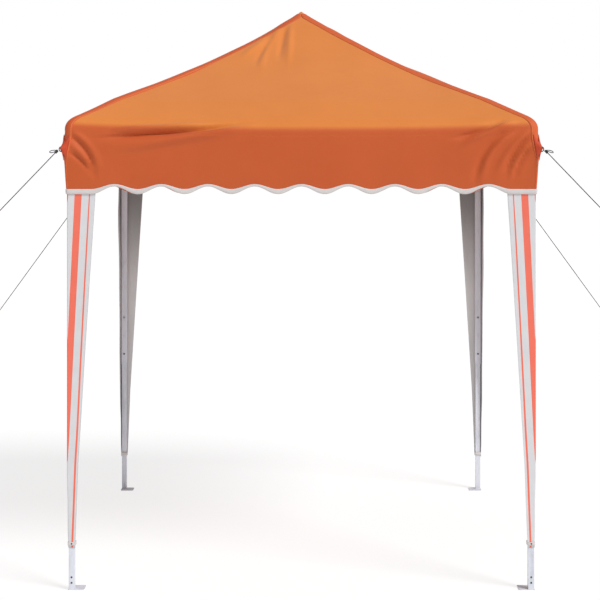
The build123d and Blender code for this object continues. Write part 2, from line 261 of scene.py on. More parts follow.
def binding_material():
    """Heavier orange tape along the hips, with a row of stitches near each edge; its red-orange, darker
    than the roof's, is painted shade along the hips.
    """
    shader = Shader("binding_tape_painted_shade", Roughness=0.7)
    place = shader.node("ShaderNodeSeparateXYZ", {0: shader.place(source="UV")})
    across_tape, along_tape = place.outputs["X"], place.outputs["Y"]
    from_edge = shader.maths("PINGPONG", across_tape, 0.5)
    near_edge = shader.maths("SUBTRACT", from_edge, 0.10)
    row = shader.remap(shader.maths("ABSOLUTE", near_edge), 0.012, 0.024, 1.0, 0.0)
    step = shader.maths("PINGPONG", along_tape, 0.0035)
    stitch = shader.maths("MULTIPLY", row, shader.remap(step, 0.0006, 0.0011, 0.0, 1.0))
    share = shader.noise(shader.place(), 30.0, 4.0)
    # painted shade: the tape is a raised strip, and its red-orange, darker than the roof, stands for the
    # shaded strip along a hip; the stitches keep their own colour
    cloth = shader.mix(share, rgb(198, 82, 34), rgb(208, 92, 40))
    colour = shader.mix(stitch, cloth, rgb(214, 120, 64))
    raised = shader.bump(stitch, 0.0006, 0.8, woven(shader, 300.0))
    return shader.finish(Base_Color=colour, Normal=raised)


def trim_material():
    """Pale folded tape, stitched along its upper edge."""
    shader = Shader("trim_tape", Roughness=0.7, Sheen_Weight=0.15)
    cloth = shader.place(source="UV")
    ribs = shader.wave(cloth, 200.0, "X")
    share = shader.noise(shader.place(), 25.0, 3.0)
    colour = shader.mix(share, rgb(200, 194, 193), rgb(212, 206, 204))
    return shader.finish(Base_Color=colour, Normal=shader.bump(ribs, 0.0003, 0.4))


def curtain_material():
    """Off-white polyester with coral stripes that run along the curtain's free edges."""
    shader = Shader("curtain_cloth", Roughness=0.68, Sheen_Weight=0.12)
    cloth = shader.place(source="UV")
    across_cloth = shader.node("ShaderNodeSeparateXYZ", {0: cloth}).outputs["X"]
    stripes = None
    for start, end in ((0.023, 0.033), (0.057, 0.087), (0.113, 0.150)):
        rise = shader.remap(across_cloth, start - 0.0004, start + 0.0004, 0.0, 1.0)
        fall = shader.remap(across_cloth, end - 0.0004, end + 0.0004, 1.0, 0.0)
        band = shader.maths("MULTIPLY", rise, fall)
        stripes = band if stripes is None else shader.maths("MAXIMUM", stripes, band)
    soft = shader.noise(shader.place(), 18.0, 4.0)
    white = shader.mix(soft, rgb(203, 203, 206), rgb(214, 213, 215))
    coral = shader.mix(soft, rgb(232, 104, 82), rgb(238, 114, 92))
    colour = shader.mix(stripes, white, coral)
    return shader.finish(Base_Color=colour, Normal=woven(shader, 300.0))


def lining_material():
    """The curtain's coated back: grey, a little shinier than the face, with painted shade that darkens it
    towards the top.
    """
    shader = Shader("curtain_lining", Roughness=0.5)
    soft = shader.noise(shader.place(), 9.0, 4.0)
    height = shader.node("ShaderNodeSeparateXYZ", {0: shader.place()}).outputs["Z"]
    # painted shade: its share grows from 1.0 m up to 1.7 m, under the canopy
    dull = shader.remap(height, 1.0, 1.7, 0.0, 1.0, smooth=True)
    unshaded_grey = shader.mix(soft, rgb(204, 206, 206), rgb(216, 217, 218))
    # painted shade: the grey darkens to rgb(118, 120, 120) towards the top, where the canopy shades the
    # curtain
    colour = shader.mix(dull, unshaded_grey, rgb(118, 120, 120))
    return shader.finish(Base_Color=colour, Normal=woven(shader, 300.0))


def rope_material():
    """Black braid: crossing diagonal ribs."""
    shader = Shader("rope_braid", Roughness=0.75, Sheen_Weight=0.2)
    cloth = shader.place(source="UV")
    ribs = shader.wave(cloth, 1.0, "DIAGONAL")
    colour = shader.mix(ribs, rgb(16, 16, 18), rgb(46, 46, 50))
    return shader.finish(Base_Color=colour, Normal=shader.bump(ribs, 0.0004, 0.8))


def painted_material(name, colour, worn, rough):
    """Powder coat: fine orange peel, slight unevenness, dulled where it is rubbed."""
    shader = Shader(name, Metallic=0.0, Coat_Weight=0.15, Coat_Roughness=0.3)
    peel = shader.noise(shader.place(), 700.0, 2.0)
    rubbed = shader.noise(shader.place((1, 1, 0.25)), 22.0, 5.0, 0.65)
    share = shader.remap(rubbed, 0.45, 0.75, 0.0, 1.0, smooth=True)
    shade = shader.mix(share, colour, worn)
    dull = shader.remap(rubbed, 0.3, 0.8, rough, rough + 0.18)
    return shader.finish(Base_Color=shade, Roughness=dull, Normal=shader.bump(peel, 0.0003, 0.15))


def metal_material(name, colour, rough, grain):
    """Bare or plated metal with its drawing lines."""
    shader = Shader(name, Metallic=1.0)
    lines = shader.noise(shader.place(grain), 1.0, 3.0, 0.6)
    shade = shader.mix(lines, colour, (*[c * 0.72 for c in colour[:3]], 1.0))
    dull = shader.remap(lines, 0.3, 0.7, rough, rough + 0.15)
    return shader.finish(Base_Color=shade, Roughness=dull, Normal=shader.bump(lines, 0.0002, 0.3))


def plastic_material():
    """Moulded nylon with a spark-eroded grain."""
    shader = Shader("nylon_black")
    shader.bsdf.inputs["Specular IOR Level"].default_value = 0.4
    grain = shader.noise(shader.place(), 1400.0, 2.0)
    cloud = shader.noise(shader.place(), 30.0, 3.0)
    shade = shader.mix(cloud, rgb(34, 34, 37), rgb(48, 48, 51))
    dull = shader.remap(cloud, 0.3, 0.7, 0.45, 0.6)
    return shader.finish(Base_Color=shade, Roughness=dull, Normal=shader.bump(grain, 0.0003, 0.4))


MATERIALS = {
    "canopy_fabric": canopy_material(),
    "curtain_fabric": curtain_material(),
    "rope": rope_material(),
    "leg_steel": painted_material("leg_paint", rgb(214, 217, 226), rgb(190, 193, 202), 0.32),
    "bar_steel": painted_material("bar_paint", rgb(205, 208, 214), rgb(178, 180, 186), 0.38),
    "button_steel": metal_material("zinc", rgb(112, 114, 120), 0.3, (900, 60, 60)),
    "pole_alloy": metal_material("pole_alloy", rgb(196, 199, 204), 0.32, (90, 90, 1200)),
    "joint_plastic": plastic_material(),
}
TRIM = trim_material()
BINDING_PAINTED_SHADE = binding_material()
RIVET = metal_material("rivet_steel", rgb(84, 86, 92), 0.35, (700, 700, 700))
GUSSET = gusset_material()
LINING = lining_material()


def is_rivet(place):
    """On a lower leg: the rivet heads proud of the foot."""
    return place.z < 0.07 and abs(place.y) > LEG_HALF + FOOT_OUT


def is_moulded(place):
    """On an upper leg: the corner bracket on its top."""
    off_tube = max(abs(abs(place.x) - LEG_HALF), abs(abs(place.y) - LEG_HALF)) > TUBE_HALF
    return place.z > BRACKET_BOTTOM_Z and (off_tube or place.z > TUBE_TOP_Z)


def dress_nodes():
    """Every hard part keeps its shape and gets its slot's finish, and its small fittings get theirs."""
    slots = {part["node"]: part["material_slot"] for part in frame["record"]["subparts"]}
    for name, node in frame["nodes"].items():
        node.data.materials.clear()
        node.data.materials.append(MATERIALS[slots[name]])
        fitting = None
        if name.endswith("lower_leg"):
            fitting = is_rivet
            node.data.materials.append(RIVET)
        elif name.endswith("upper_leg"):
            fitting = is_moulded
            node.data.materials.append(MATERIALS["joint_plastic"])
        for face in node.data.polygons:
            face.material_index = int(fitting is not None and fitting(face.center))


# ---------------------------------------------------------------- mesh helpers
def smoothstep(low, high, value):
    """0 at low, 1 at high, with soft ends. low may be the greater."""
    share = np.clip((np.asarray(value, float) - low) / (high - low), 0.0, 1.0)
    return share * share * (3 - 2 * share)


def grid_mesh(name, points, material, closed=False, uv=None):
    """A mesh over points[row][column]. closed joins the last column to the first."""
    rows, columns = points.shape[:2]
    wrap = columns if closed else columns - 1
    faces = []
    for r in range(rows - 1):
        for c in range(wrap):
            d = (c + 1) % columns
            faces.append((r * columns + c, (r + 1) * columns + c, (r + 1) * columns + d, r * columns + d))
    mesh = bpy.data.meshes.new(name)
    mesh.from_pydata(points.reshape(-1, 3).tolist(), [], faces)
    mesh.polygons.foreach_set("use_smooth", [True] * len(faces))
    if uv is not None:
        layer = mesh.uv_layers.new(name="cloth")
        flat = uv.reshape(-1, 2)
        corner = np.zeros(len(mesh.loops), np.int32)
        mesh.loops.foreach_get("vertex_index", corner)
        values = flat[corner]
        if closed:
            # the face that closes the ring reads past the end instead of back at the start
            length = uv[:, -1, 0].max() * columns / (columns - 1)
            per_face = values.reshape(-1, 4, 2)
            seam = np.ptp(per_face[:, :, 0], axis=1) > 0.5 * length
            low = per_face[:, :, 0] < 0.5 * length
            per_face[:, :, 0] += np.where(seam[:, None] & low, length, 0.0)
            values = per_face.reshape(-1, 2)
        layer.data.foreach_set("uv", values.ravel())
    mesh.materials.append(material)
    mesh.update()
    piece = bpy.data.objects.new(name, mesh)
    bpy.context.scene.collection.objects.link(piece)
    return piece


def cloth_map(piece, uv):
    """Gives each point its place on the flat cloth, uv[row][column]."""
    mesh = piece.data
    layer = mesh.uv_layers.new(name="cloth")
    corner = np.zeros(len(mesh.loops), np.int32)
    mesh.loops.foreach_get("vertex_index", corner)
    layer.data.foreach_set("uv", uv.reshape(-1, 2)[corner].ravel())


def solid(piece, thickness):
    """Gives a sheet its thickness, inwards from the surface drawn."""
    modifier = piece.modifiers.new("thickness", "SOLIDIFY")
    modifier.thickness = thickness
    modifier.offset = -1.0
    modifier.use_even_offset = False
    return piece


def tube_points(path, radius, ring=8):
    """Rings of points round a path, with no twist. radius is a number or one for each point."""
    path = np.asarray(path, float)
    radius = np.broadcast_to(radius, len(path))
    tangent = np.gradient(path, axis=0)
    tangent /= np.linalg.norm(tangent, axis=1)[:, None]
    side = np.cross(tangent[0], (0.0, 0.0, 1.0))
    if np.linalg.norm(side) < 1e-3:
        side = np.array((1.0, 0.0, 0.0))
    rings = []
    for point, along, r in zip(path, tangent, radius):
        side = side - along * (side @ along)
        side /= np.linalg.norm(side)
        other = np.cross(along, side)
        turn = np.linspace(0, 2 * pi, ring, endpoint=False)[:, None]
        rings.append(point + r * (np.cos(turn) * side + np.sin(turn) * other))
    return np.array(rings)


def tube(name, path, radius, material, ring=8, twist=0.0):
    """A round bar along a path, closed at both ends."""
    points = tube_points(path, radius, ring)
    steps = np.linalg.norm(np.diff(np.asarray(path, float), axis=0), axis=1)
    along = np.concatenate([[0.0], np.cumsum(steps)])
    across_ring = np.arange(ring) / ring
    uv = np.zeros((len(path), ring, 2))
    uv[..., 0] = along[:, None] * twist
    uv[..., 1] = across_ring[None, :] * 6.0
    rows, columns = points.shape[:2]
    piece = grid_mesh(name, points, material, closed=True)
    cloth_map(piece, uv)
    mesh = piece.data
    made = bmesh.new()
    made.from_mesh(mesh)
    made.verts.ensure_lookup_table()
    made.faces.new([made.verts[i] for i in range(columns)])
    made.faces.new([made.verts[(rows - 1) * columns + i] for i in reversed(range(columns))])
    bmesh.ops.recalc_face_normals(made, faces=made.faces)
    made.to_mesh(mesh)
    made.free()
    return piece


def face_outwards(piece, merge=None):
    """Turns a piece's faces outwards, after merging points that are closer than a distance, if given."""
    made = bmesh.new()
    made.from_mesh(piece.data)
    if merge is not None:
        bmesh.ops.remove_doubles(made, verts=made.verts, dist=merge)
    bmesh.ops.recalc_face_normals(made, faces=made.faces)
    made.to_mesh(piece.data)
    made.free()


def join(name, pieces):
    """One object from several that share a material list."""
    target = pieces[0]
    made = bmesh.new()
    for piece in pieces:
        made.from_mesh(piece.data)
    made.to_mesh(target.data)
    made.free()
    for piece in pieces[1:]:
        bpy.data.objects.remove(piece)
    target.name = name
    target.data.name = name
    return target


# ---------------------------------------------------------------- the canopy's form
def roof_height(s):
    """The hips' height at a share s of the way from the peak to the eave: steeper near the peak."""
    s = np.asarray(s, float)
    sag = ROOF_SAG * np.sin(pi * np.clip(s / SAG_END, 0, 1))
    return PEAK_Z - (PEAK_Z - EAVE_Z) * s / HIP_END - sag


def scallop(x, low, wave):
    """The height of the valance's lower edge, or of the trim's seam: level near the corners."""
    return low + wave * (1 + np.cos(2 * pi * x / SCALLOP_PITCH)) * (np.abs(x) < SCALLOP_SPAN)


def valance_half(z):
    """Half the width of the hanging part at a height: fullest below the eave, drawn in at the hem."""
    knots_z = (1.660, 1.703, 1.743, 1.820, 1.900, 1.945)
    knots_h = (0.9918, 0.9928, 0.9955, 0.9990, 1.0010, 1.0000)
    return np.interp(z, knots_z, knots_h)


def corner_radius(z):
    """The rounding of the valance's corners: soft at the eave, tight at the hem."""
    return HEM_RADIUS + (CORNER_RADIUS - HEM_RADIUS) * smoothstep(1.78, 1.92, z)


class Fold:
    """A soft ridge or valley pressed into one side's cloth, from one point to another.

    Points are (x along the side, z height). depth is outwards, width its half width, and lean makes
    one flank steeper than the other.
    """

    def __init__(self, start, end, width, depth, ends=(0.25, 0.25), bend=0.0, lean=1.0):
        self.start, self.end = np.array(start, float), np.array(end, float)
        self.width, self.depth, self.ends, self.bend, self.lean = width, depth, ends, bend, lean

    def push(self, x, z):
        run = self.end - self.start
        length = hypot(*run)
        along = ((x - self.start[0]) * run[0] + (z - self.start[1]) * run[1]) / length**2
        off = ((x - self.start[0]) * -run[1] + (z - self.start[1]) * run[0]) / length
        off = off - self.bend * 4 * along * (1 - along)
        rise = smoothstep(-self.ends[0], self.ends[0], along)
        fall = 1 - smoothstep(1 - self.ends[1], 1 + self.ends[1], along)
        width = np.where(off > 0, self.width * self.lean, self.width)
        return self.depth * np.exp(-((off / width) ** 2)) * rise * fall


FRONT_FOLDS = (
    # the slack lip under the eave on the left, with the valley and the ridge below it
    Fold((-0.760, 1.944), (-0.430, 1.962), 0.010, 0.013, (0.15, 0.3)),
    Fold((-0.745, 1.918), (-0.290, 1.964), 0.015, -0.026, (0.4, 0.25), 0.0, 0.55),
    Fold((-0.720, 1.872), (-0.250, 1.956), 0.022, 0.014, (0.3, 0.2)),
    # pulled from the left gusset down into the valance
    Fold((-0.955, 1.932), (-0.855, 1.790), 0.010, 0.006, (0.2, 0.3), 0.018),
    Fold((-0.968, 1.912), (-0.875, 1.771), 0.009, -0.010, (0.2, 0.3), 0.018),
    Fold((-0.968, 1.880), (-0.880, 1.745), 0.010, 0.007, (0.2, 0.3), 0.014),
    Fold((-0.971, 1.845), (-0.878, 1.748), 0.009, -0.009, (0.2, 0.3), 0.011),
    # pulled from the right corner: long soft folds that turn down towards the hem
    Fold((0.830, 1.968), (0.670, 1.914), 0.012, -0.015, (0.35, 0.45), 0.004),
    Fold((0.880, 1.970), (0.700, 1.888), 0.013, 0.013, (0.2, 0.3), -0.010),
    Fold((0.878, 1.944), (0.733, 1.744), 0.012, -0.011, (0.2, 0.3), -0.027),
    Fold((0.870, 1.920), (0.765, 1.755), 0.013, 0.009, (0.2, 0.3), -0.022),
    Fold((0.952, 1.930), (0.830, 1.775), 0.011, 0.009, (0.2, 0.3), -0.016),
    Fold((0.955, 1.912), (0.865, 1.760), 0.009, -0.010, (0.2, 0.3), -0.014),
    Fold((0.958, 1.882), (0.885, 1.765), 0.009, 0.008, (0.2, 0.3), -0.010),
    Fold((0.960, 1.865), (0.900, 1.745), 0.008, -0.008, (0.2, 0.3), -0.008),
    # slack near the peak on the left
    Fold((-0.095, 2.435), (-0.180, 2.257), 0.017, 0.009, (0.25, 0.35), -0.020),
    Fold((-0.135, 2.405), (-0.200, 2.275), 0.015, -0.010, (0.25, 0.35)),
    Fold((-0.080, 2.440), (-0.100, 2.300), 0.014, -0.009, (0.25, 0.35)),
    Fold((-0.050, 2.445), (-0.060, 2.270), 0.016, 0.007, (0.25, 0.35)),
    Fold((-0.165, 2.380), (-0.260, 2.300), 0.016, 0.008, (0.25, 0.35)),
)


def side_folds(seed):
    """Folds for a side that hangs like the front: drawn from both gussets, slack at the eave and peak."""
    draw = np.random.default_rng(seed)
    folds = []
    for towards in (-1, 1):
        for step in range(6):
            reach = draw.uniform(0.08, 0.24)
            top = 1.965 - 0.022 * step + draw.uniform(-0.006, 0.006)
            start = (towards * (0.93 + 0.008 * step), top)
            end = (towards * (0.95 - reach), top - draw.uniform(0.09, 0.19))
            sign = 1 if step % 2 else -1
            depth = sign * draw.uniform(0.005, 0.009)
            folds.append(Fold(start, end, draw.uniform(0.009, 0.014), depth, (0.2, 0.3), towards * -0.015))
    at = draw.uniform(-0.5, 0.5)
    long = draw.uniform(0.16, 0.24)
    for drop, width, depth in ((0.0, 0.011, 0.008), (0.026, 0.013, -0.010), (0.062, 0.020, 0.007)):
        start, end = (at - long, 1.950 - drop), (at + long, 1.966 - 0.6 * drop)
        folds.append(Fold(start, end, width, depth, (0.3, 0.2)))
    for step in range(4):
        x = draw.uniform(0.04, 0.10) * (-1) ** step
        sign = 1 if step % 2 else -1
        folds.append(Fold((x, 2.45), (x * 3.2, 2.30), 0.013, sign * 0.005, (0.2, 0.3)))
    return tuple(folds)


FOLDS = (FRONT_FOLDS, side_folds(11), side_folds(12), side_folds(13))


def slow_waves(seed, x, w):
    """The gentle unevenness of hung cloth, from a few long waves. w is the way down the cloth."""
    draw = np.random.default_rng(seed)
    total = np.zeros(np.broadcast(x, w).shape)
    for length in (0.9, 0.55, 0.33, 0.21):
        turn = draw.uniform(-0.5, 0.5)
        phase = draw.uniform(0, 2 * pi)
        total = total + length * np.sin(2 * pi * (x * cos(turn) + w * sin(turn)) / length + phase)
    return total / 2.0


COLUMNS_A_SIDE = 168
COLUMNS_A_CORNER = 8
ROOF_ROWS = 72
EAVE_ROWS = 14
VALANCE_ROWS = 46


def ring_stations():
    """For each column: (side, share along its straight part from -1 to 1, angle round its corner)."""
    stations = []
    for side in range(4):
        for step in range(COLUMNS_A_SIDE + 1):
            stations.append((side, -1 + 2 * step / COLUMNS_A_SIDE, 0.0))
        for step in range(1, COLUMNS_A_CORNER):
            stations.append((side, 1.0, step / COLUMNS_A_CORNER * pi / 2))
    return stations


STATIONS = ring_stations()
STATION_SIDE = np.array([s for s, _, _ in STATIONS])
STATION_SHARE = np.array([f for _, f, _ in STATIONS])
STATION_ANGLE = np.array([a for _, _, a in STATIONS])


def ring_points(half, radius):
    """Each column's place on a square ring with round corners: local x, local outwards, and its normal."""
    straight = half - radius
    x = STATION_SHARE * straight + radius * np.sin(STATION_ANGLE)
    out = straight + radius * np.cos(STATION_ANGLE)
    return x, out, np.sin(STATION_ANGLE), np.cos(STATION_ANGLE)


def to_frame(side, x, out):
    """From a side's own x and outwards to the frame's X and Y, for each column."""
    turn = side * pi / 2
    across_x, across_y = np.cos(turn), np.sin(turn)
    return x * across_x + out * across_y, x * across_y - out * across_x


def canopy_rows():
    """Rows of (half width, height, share down the roof, share down the valance) from peak to hem."""
    rows = []
    for step in range(ROOF_ROWS + 1):
        s = (step / ROOF_ROWS) ** 0.9 * EAVE_START
        rows.append((max(s, 0.004), float(roof_height(s)), s, 0.0))
    start = np.array((EAVE_START, float(roof_height(EAVE_START))))
    slope = np.array((1.0, -0.60)) * 0.026
    end = np.array((float(valance_half(VALANCE_TOP_Z)), VALANCE_TOP_Z))
    first, second = start + slope, end + np.array((0.002, 0.030))
    for step in range(1, EAVE_ROWS + 1):
        t = step / EAVE_ROWS
        p = (1 - t) ** 3 * start + 3 * t * (1 - t) ** 2 * first + 3 * t * t * (1 - t) * second + t**3 * end
        rows.append((p[0], p[1], 1.0, 0.0))
    for step in range(1, VALANCE_ROWS + 1):
        rows.append((0.0, 0.0, 1.0, (step / VALANCE_ROWS) ** 1.3))
    return rows


def eave_dip(x, s):
    """How far the eave sags between the corners, growing down the roof."""
    return -EAVE_DIP * s**4 * (1 - np.clip(np.abs(x), 0, 1) ** 3)


def gusset_pull(x, z):
    """How far the cloth at a corner is drawn out, towards the rope, near the gusset's height."""
    near = np.exp(-(((np.abs(x) - 1.0) / 0.045) ** 2))
    return 0.007 * near * np.exp(-(((z - 1.862) / 0.042) ** 2))


def canopy_surface():
    """The canopy's points, row by row from the peak to the hem."""
    rows = canopy_rows()
    points = np.zeros((len(rows), len(STATIONS), 3))
    for r, (half, z, s, g) in enumerate(rows):
        if g == 0.0:
            x, out, nx, no = ring_points(half, min(half, HIP_RADIUS + (CORNER_RADIUS - HIP_RADIUS) * s**8))
            height = z + eave_dip(x, s) * np.ones(len(STATIONS))
            tilt = 0.5 if s < 1.0 else 0.5 + 0.5 * (r - ROOF_ROWS) / EAVE_ROWS
        else:
            x, out, nx, no = ring_points(ROOF_HALF, CORNER_RADIUS)
            low = scallop(x, TRIM_LOW_Z, TRIM_WAVE) + 0.003
            top = VALANCE_TOP_Z + eave_dip(x, 1.0)
            height = top + (low - top) * g
            wide = valance_half(height)
            radius = corner_radius(height)
            x, out, nx, no = ring_points(ROOF_HALF, radius)
            x, out = x * wide, out - ROOF_HALF + wide
            tilt = 1.0
        push = np.zeros(len(STATIONS))
        flat = smoothstep(0.0, 0.35, np.cos(STATION_ANGLE))
        for side in range(4):
            mine = STATION_SIDE == side
            for fold in FOLDS[side]:
                push[mine] += (fold.push(x, height) * flat)[mine]
            sway = slow_waves(40 + side, x, height)
            amount = 0.006 * s * (1 - s) * 4 if g == 0.0 else 0.006 * g * (1 - x**6)
            push[mine] += (sway * amount * flat)[mine]
        pull = gusset_pull(np.minimum(np.abs(x), 1.0), height)
        push = push + np.where(np.abs(x) > 0.85, pull, 0.0)
        x = x + nx * push * tilt
        out = out + no * push * tilt
        height = height + push * (1 - tilt * tilt) ** 0.5
        points[r, :, 0], points[r, :, 1] = to_frame(STATION_SIDE, x, out)
        points[r, :, 2] = height
    return points


# ---------------------------------------------------------------- folding
def fold_weights(points):
    """How much each point follows each corner and the pole, so that the cloth gathers as the frame folds.

    The corners share the horizontal move. The pole takes the height above the eave down. Pleats keep
    some columns further out and up, because gathered cloth stands in folds.
    """
    flat = points.reshape(-1, 3)
    u = np.clip(0.5 + 0.5 * flat[:, 0] / LEG_HALF, 0, 1)
    v = np.clip(0.5 + 0.5 * flat[:, 1] / LEG_HALF, 0, 1)
    along = np.where(np.abs(flat[:, 0]) > np.abs(flat[:, 1]), flat[:, 1], flat[:, 0])
    off_corner = smoothstep(0.92, 0.62, np.abs(along))
    pleat = 0.5 - 0.5 * np.cos(2 * pi * along / PLEAT_PITCH)
    below = smoothstep(2.05, 1.93, flat[:, 2])
    keep_out = PLEAT_PROUD * pleat * off_corner * below
    share = {
        "front_left": (1 - u) * (1 - v),
        "front_right": u * (1 - v),
        "back_left": (1 - u) * v,
        "back_right": u * v,
    }
    weights = {f"{corner}_upper_leg": w * (1 - keep_out) for corner, w in share.items()}
    fall = np.clip((flat[:, 2] - POLE_FOLLOW_Z) / POLE_FOLLOW_RISE, 0, 1)
    off_pole = smoothstep(0.08, 0.3, np.abs(flat[:, :2]).max(1))
    ridge = RIDGE_PROUD * (0.5 - 0.5 * np.cos(2 * pi * along / RIDGE_PITCH)) * off_pole
    weights["peak_pole"] = fall * (1 - ridge)
    return weights


def gather(piece):
    """Lets a canopy piece, which rides on the hub, follow the corners and the pole as they move."""
    points = np.zeros(len(piece.data.vertices) * 3)
    piece.data.vertices.foreach_get("co", points)
    for body, values in fold_weights(points.reshape(-1, 3)).items():
        group = piece.vertex_groups.new(name=body)
        for index, value in enumerate(values):
            if value > 0.0:
                group.add([index], float(value), "REPLACE")
        modifier = piece.modifiers.new(f"follow_{body}", "HOOK")
        modifier.object = frame["bodies"][body]
        modifier.vertex_group = body
        modifier.matrix_inverse.identity()
        modifier.falloff_type = "NONE"
        modifier.strength = 1.0


def make_canopy():
    """The roof and its valance: one continuous sheet."""
    points = canopy_surface()
    around = np.cumsum(np.linalg.norm(np.diff(points[-1], axis=0, append=points[-1][:1]), axis=1))
    around = np.concatenate([[0.0], around[:-1]])
    middle = points[:, COLUMNS_A_SIDE // 2]
    down = np.concatenate([[0.0], np.cumsum(np.linalg.norm(np.diff(middle, axis=0), axis=1))])
    uv = np.zeros((*points.shape[:2], 2))
    uv[..., 0] = around[None, :]
    uv[..., 1] = down[:, None]
    piece = grid_mesh("canopy_cloth", points, MATERIALS["canopy_fabric"], closed=True, uv=uv)
    made = bmesh.new()
    made.from_mesh(piece.data)
    made.verts.ensure_lookup_table()
    cap = made.faces.new([made.verts[i] for i in reversed(range(len(STATIONS)))])
    cap.smooth = True
    bmesh.ops.recalc_face_normals(made, faces=made.faces)
    made.to_mesh(piece.data)
    made.free()
    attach(piece, "hub")
    gather(piece)
    solid(piece, CLOTH)
    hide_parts("canopy")
    return piece, points


def hip_tape(points, corner):
    """The seam's binding: a tape over a hip, from the peak down the valance's corner to the hem."""
    first = CORNER_AFTER_SIDE[corner] * (COLUMNS_A_SIDE + COLUMNS_A_CORNER) + COLUMNS_A_SIDE
    columns = (np.arange(COLUMNS_A_CORNER + 1) + first) % len(STATIONS)
    rows = np.arange(1, len(points) - 3)
    strip = points[np.ix_(rows, columns)]
    along = np.gradient(strip, axis=0)
    across_strip = np.gradient(strip, axis=1)
    normal = np.cross(across_strip, along)
    normal /= np.linalg.norm(normal, axis=2, keepdims=True)
    if (normal[len(rows) // 2].mean(axis=0) @ np.array((*CORNERS[corner], 1.0))) < 0:
        normal = -normal
    arch = np.sin(np.linspace(0, pi, len(columns)))[None, :, None]
    on_roof = smoothstep(VALANCE_TOP_Z, EAVE_Z, strip[:, 4, 2])[:, None, None]
    over = strip + normal * (0.0007 + arch * (0.0006 + HIP_CROWN * on_roof))
    under = strip - normal * 0.0016
    loop = np.concatenate([over, under[:, ::-1]], axis=1)
    steps = np.linalg.norm(np.diff(strip[:, 4], axis=0), axis=1)
    uv = np.zeros((*loop.shape[:2], 2))
    uv[..., 0] = np.concatenate([np.linspace(0, 1, len(columns)), np.linspace(1, 0, len(columns))])[None, :]
    uv[..., 1] = np.concatenate([[0.0], np.cumsum(steps)])[:, None]
    piece = grid_mesh(f"{corner}_hip_tape", loop, BINDING_PAINTED_SHADE, closed=True)
    cloth_map(piece, uv)
    face_outwards(piece)
    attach(piece, "hub")
    gather(piece)
    return piece


def trim_band(points):
    """A folded tape over the hem: it bulges a little and wraps under the edge."""
    lowest = points[-1]
    x = np.where(STATION_SIDE % 2 == 0, lowest[:, 0], lowest[:, 1])
    x = np.where(STATION_ANGLE > 0, 1.0, x)
    top_z = scallop(x, SEAM_LOW_Z, SEAM_WAVE)
    low_z = scallop(x, TRIM_LOW_Z, TRIM_WAVE)
    turn = STATION_SIDE * pi / 2
    nx, no = np.sin(STATION_ANGLE), np.cos(STATION_ANGLE)
    out_x, out_y = nx * np.cos(turn) + no * np.sin(turn), nx * np.sin(turn) - no * np.cos(turn)
    near_hem = points[-12:]
    heights = near_hem[..., 2]
    section = ((0.0, 0.0008), (0.03, 0.0026), (0.2, 0.0034), (0.6, 0.0032), (0.92, 0.0026), (1.0, 0.0008))
    section += ((0.96, -0.0014), (0.6, -0.0020), (0.1, -0.0018), (0.0, -0.0014))
    band = np.zeros((len(section) + 1, len(STATIONS), 3))
    for row, (share, proud) in enumerate(section + section[:1]):
        z = top_z + (low_z - top_z) * share
        for axis in (0, 1):
            column = [np.interp(-z[c], -heights[:, c], near_hem[:, c, axis]) for c in range(len(STATIONS))]
            band[row, :, axis] = column
        band[row, :, 0] += out_x * proud
        band[row, :, 1] += out_y * proud
        band[row, :, 2] = z
    around = np.cumsum(np.linalg.norm(np.diff(band[0], axis=0, append=band[0][:1]), axis=1))
    uv = np.zeros((*band.shape[:2], 2))
    uv[..., 0] = np.concatenate([[0.0], around[:-1]])[None, :]
    uv[..., 1] = np.linspace(0, 0.06, len(band))[:, None]
    piece = grid_mesh("canopy_trim", band, TRIM, closed=True, uv=uv)
    face_outwards(piece, merge=1e-6)
    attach(piece, "hub")
    gather(piece)
    return piece


# ---------------------------------------------------------------- corners
def corner_points(points, corner):
    """Points drawn for the front left corner, mirrored to a corner."""
    sx, sy = CORNERS[corner]
    return np.asarray(points, float) * (-sx, -sy, 1)


def turned(corner):
    """True where mirroring to this corner turns a face inside out."""
    sx, sy = CORNERS[corner]
    return sx * sy < 0


def corner_cloth(points, corner, height, share):
    """A point of the valance's corner: share 0 to 1 goes round it, from one straight side to the next."""
    first = CORNER_AFTER_SIDE[corner] * (COLUMNS_A_SIDE + COLUMNS_A_CORNER) + COLUMNS_A_SIDE
    at = share * COLUMNS_A_CORNER
    low = min(int(at), COLUMNS_A_CORNER - 1)
    both = []
    for step in (low, low + 1):
        column = points[ROOF_ROWS:, (first + step) % len(STATIONS)]
        both.append([np.interp(-height, -column[:, 2], column[:, axis]) for axis in (0, 1)])
    x, y = np.array(both[0]) + (np.array(both[1]) - np.array(both[0])) * (at - low)
    return np.array((x, y, height))


def make_gusset(points, corner):
    """A triangle of doubled cloth over the corner, drawn out to a point at the rope's ring."""
    top, tip, bottom = 1.923, 1.864, 1.814
    outward = np.array((*CORNERS[corner], 0.0))
    rows, columns = 23, 17
    grid = np.zeros((rows, columns, 3))
    for r, t in enumerate(np.linspace(0, 1, rows)):
        for c, across in enumerate(np.linspace(-1, 1, columns)):
            peak = (1 - abs(2 * t - 1)) ** 0.9 * (1 - abs(across)) ** 1.1
            z = top + (bottom - top) * t
            z += (tip - z) * 0.55 * (1 - abs(across))
            base = corner_cloth(points, corner, z, 0.5 + 0.36 * across)
            grid[r, c] = base + outward * (0.0026 + 0.0150 * peak)
    piece = grid_mesh(f"{corner}_gusset", grid, GUSSET)
    layer = piece.data.uv_layers.new(name="cloth")
    for item, loop in zip(layer.data, piece.data.loops):
        place = piece.data.vertices[loop.vertex_index].co
        item.uv = (place.x, place.z)
    solid(piece, 0.0022).modifiers["thickness"].offset = 0.0
    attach(piece, "hub")
    gather(piece)
    return piece


def rope_route(corner):
    """The rope's start and its direction, for a corner."""
    sx, sy = CORNERS[corner]
    start = Vector((sx * ROPE_START.x, sy * ROPE_START.y, ROPE_START.z))
    peg = Vector((sx * ROPE_PEG.x, sy * ROPE_PEG.y, 0.0))
    return start, (peg - start).normalized()


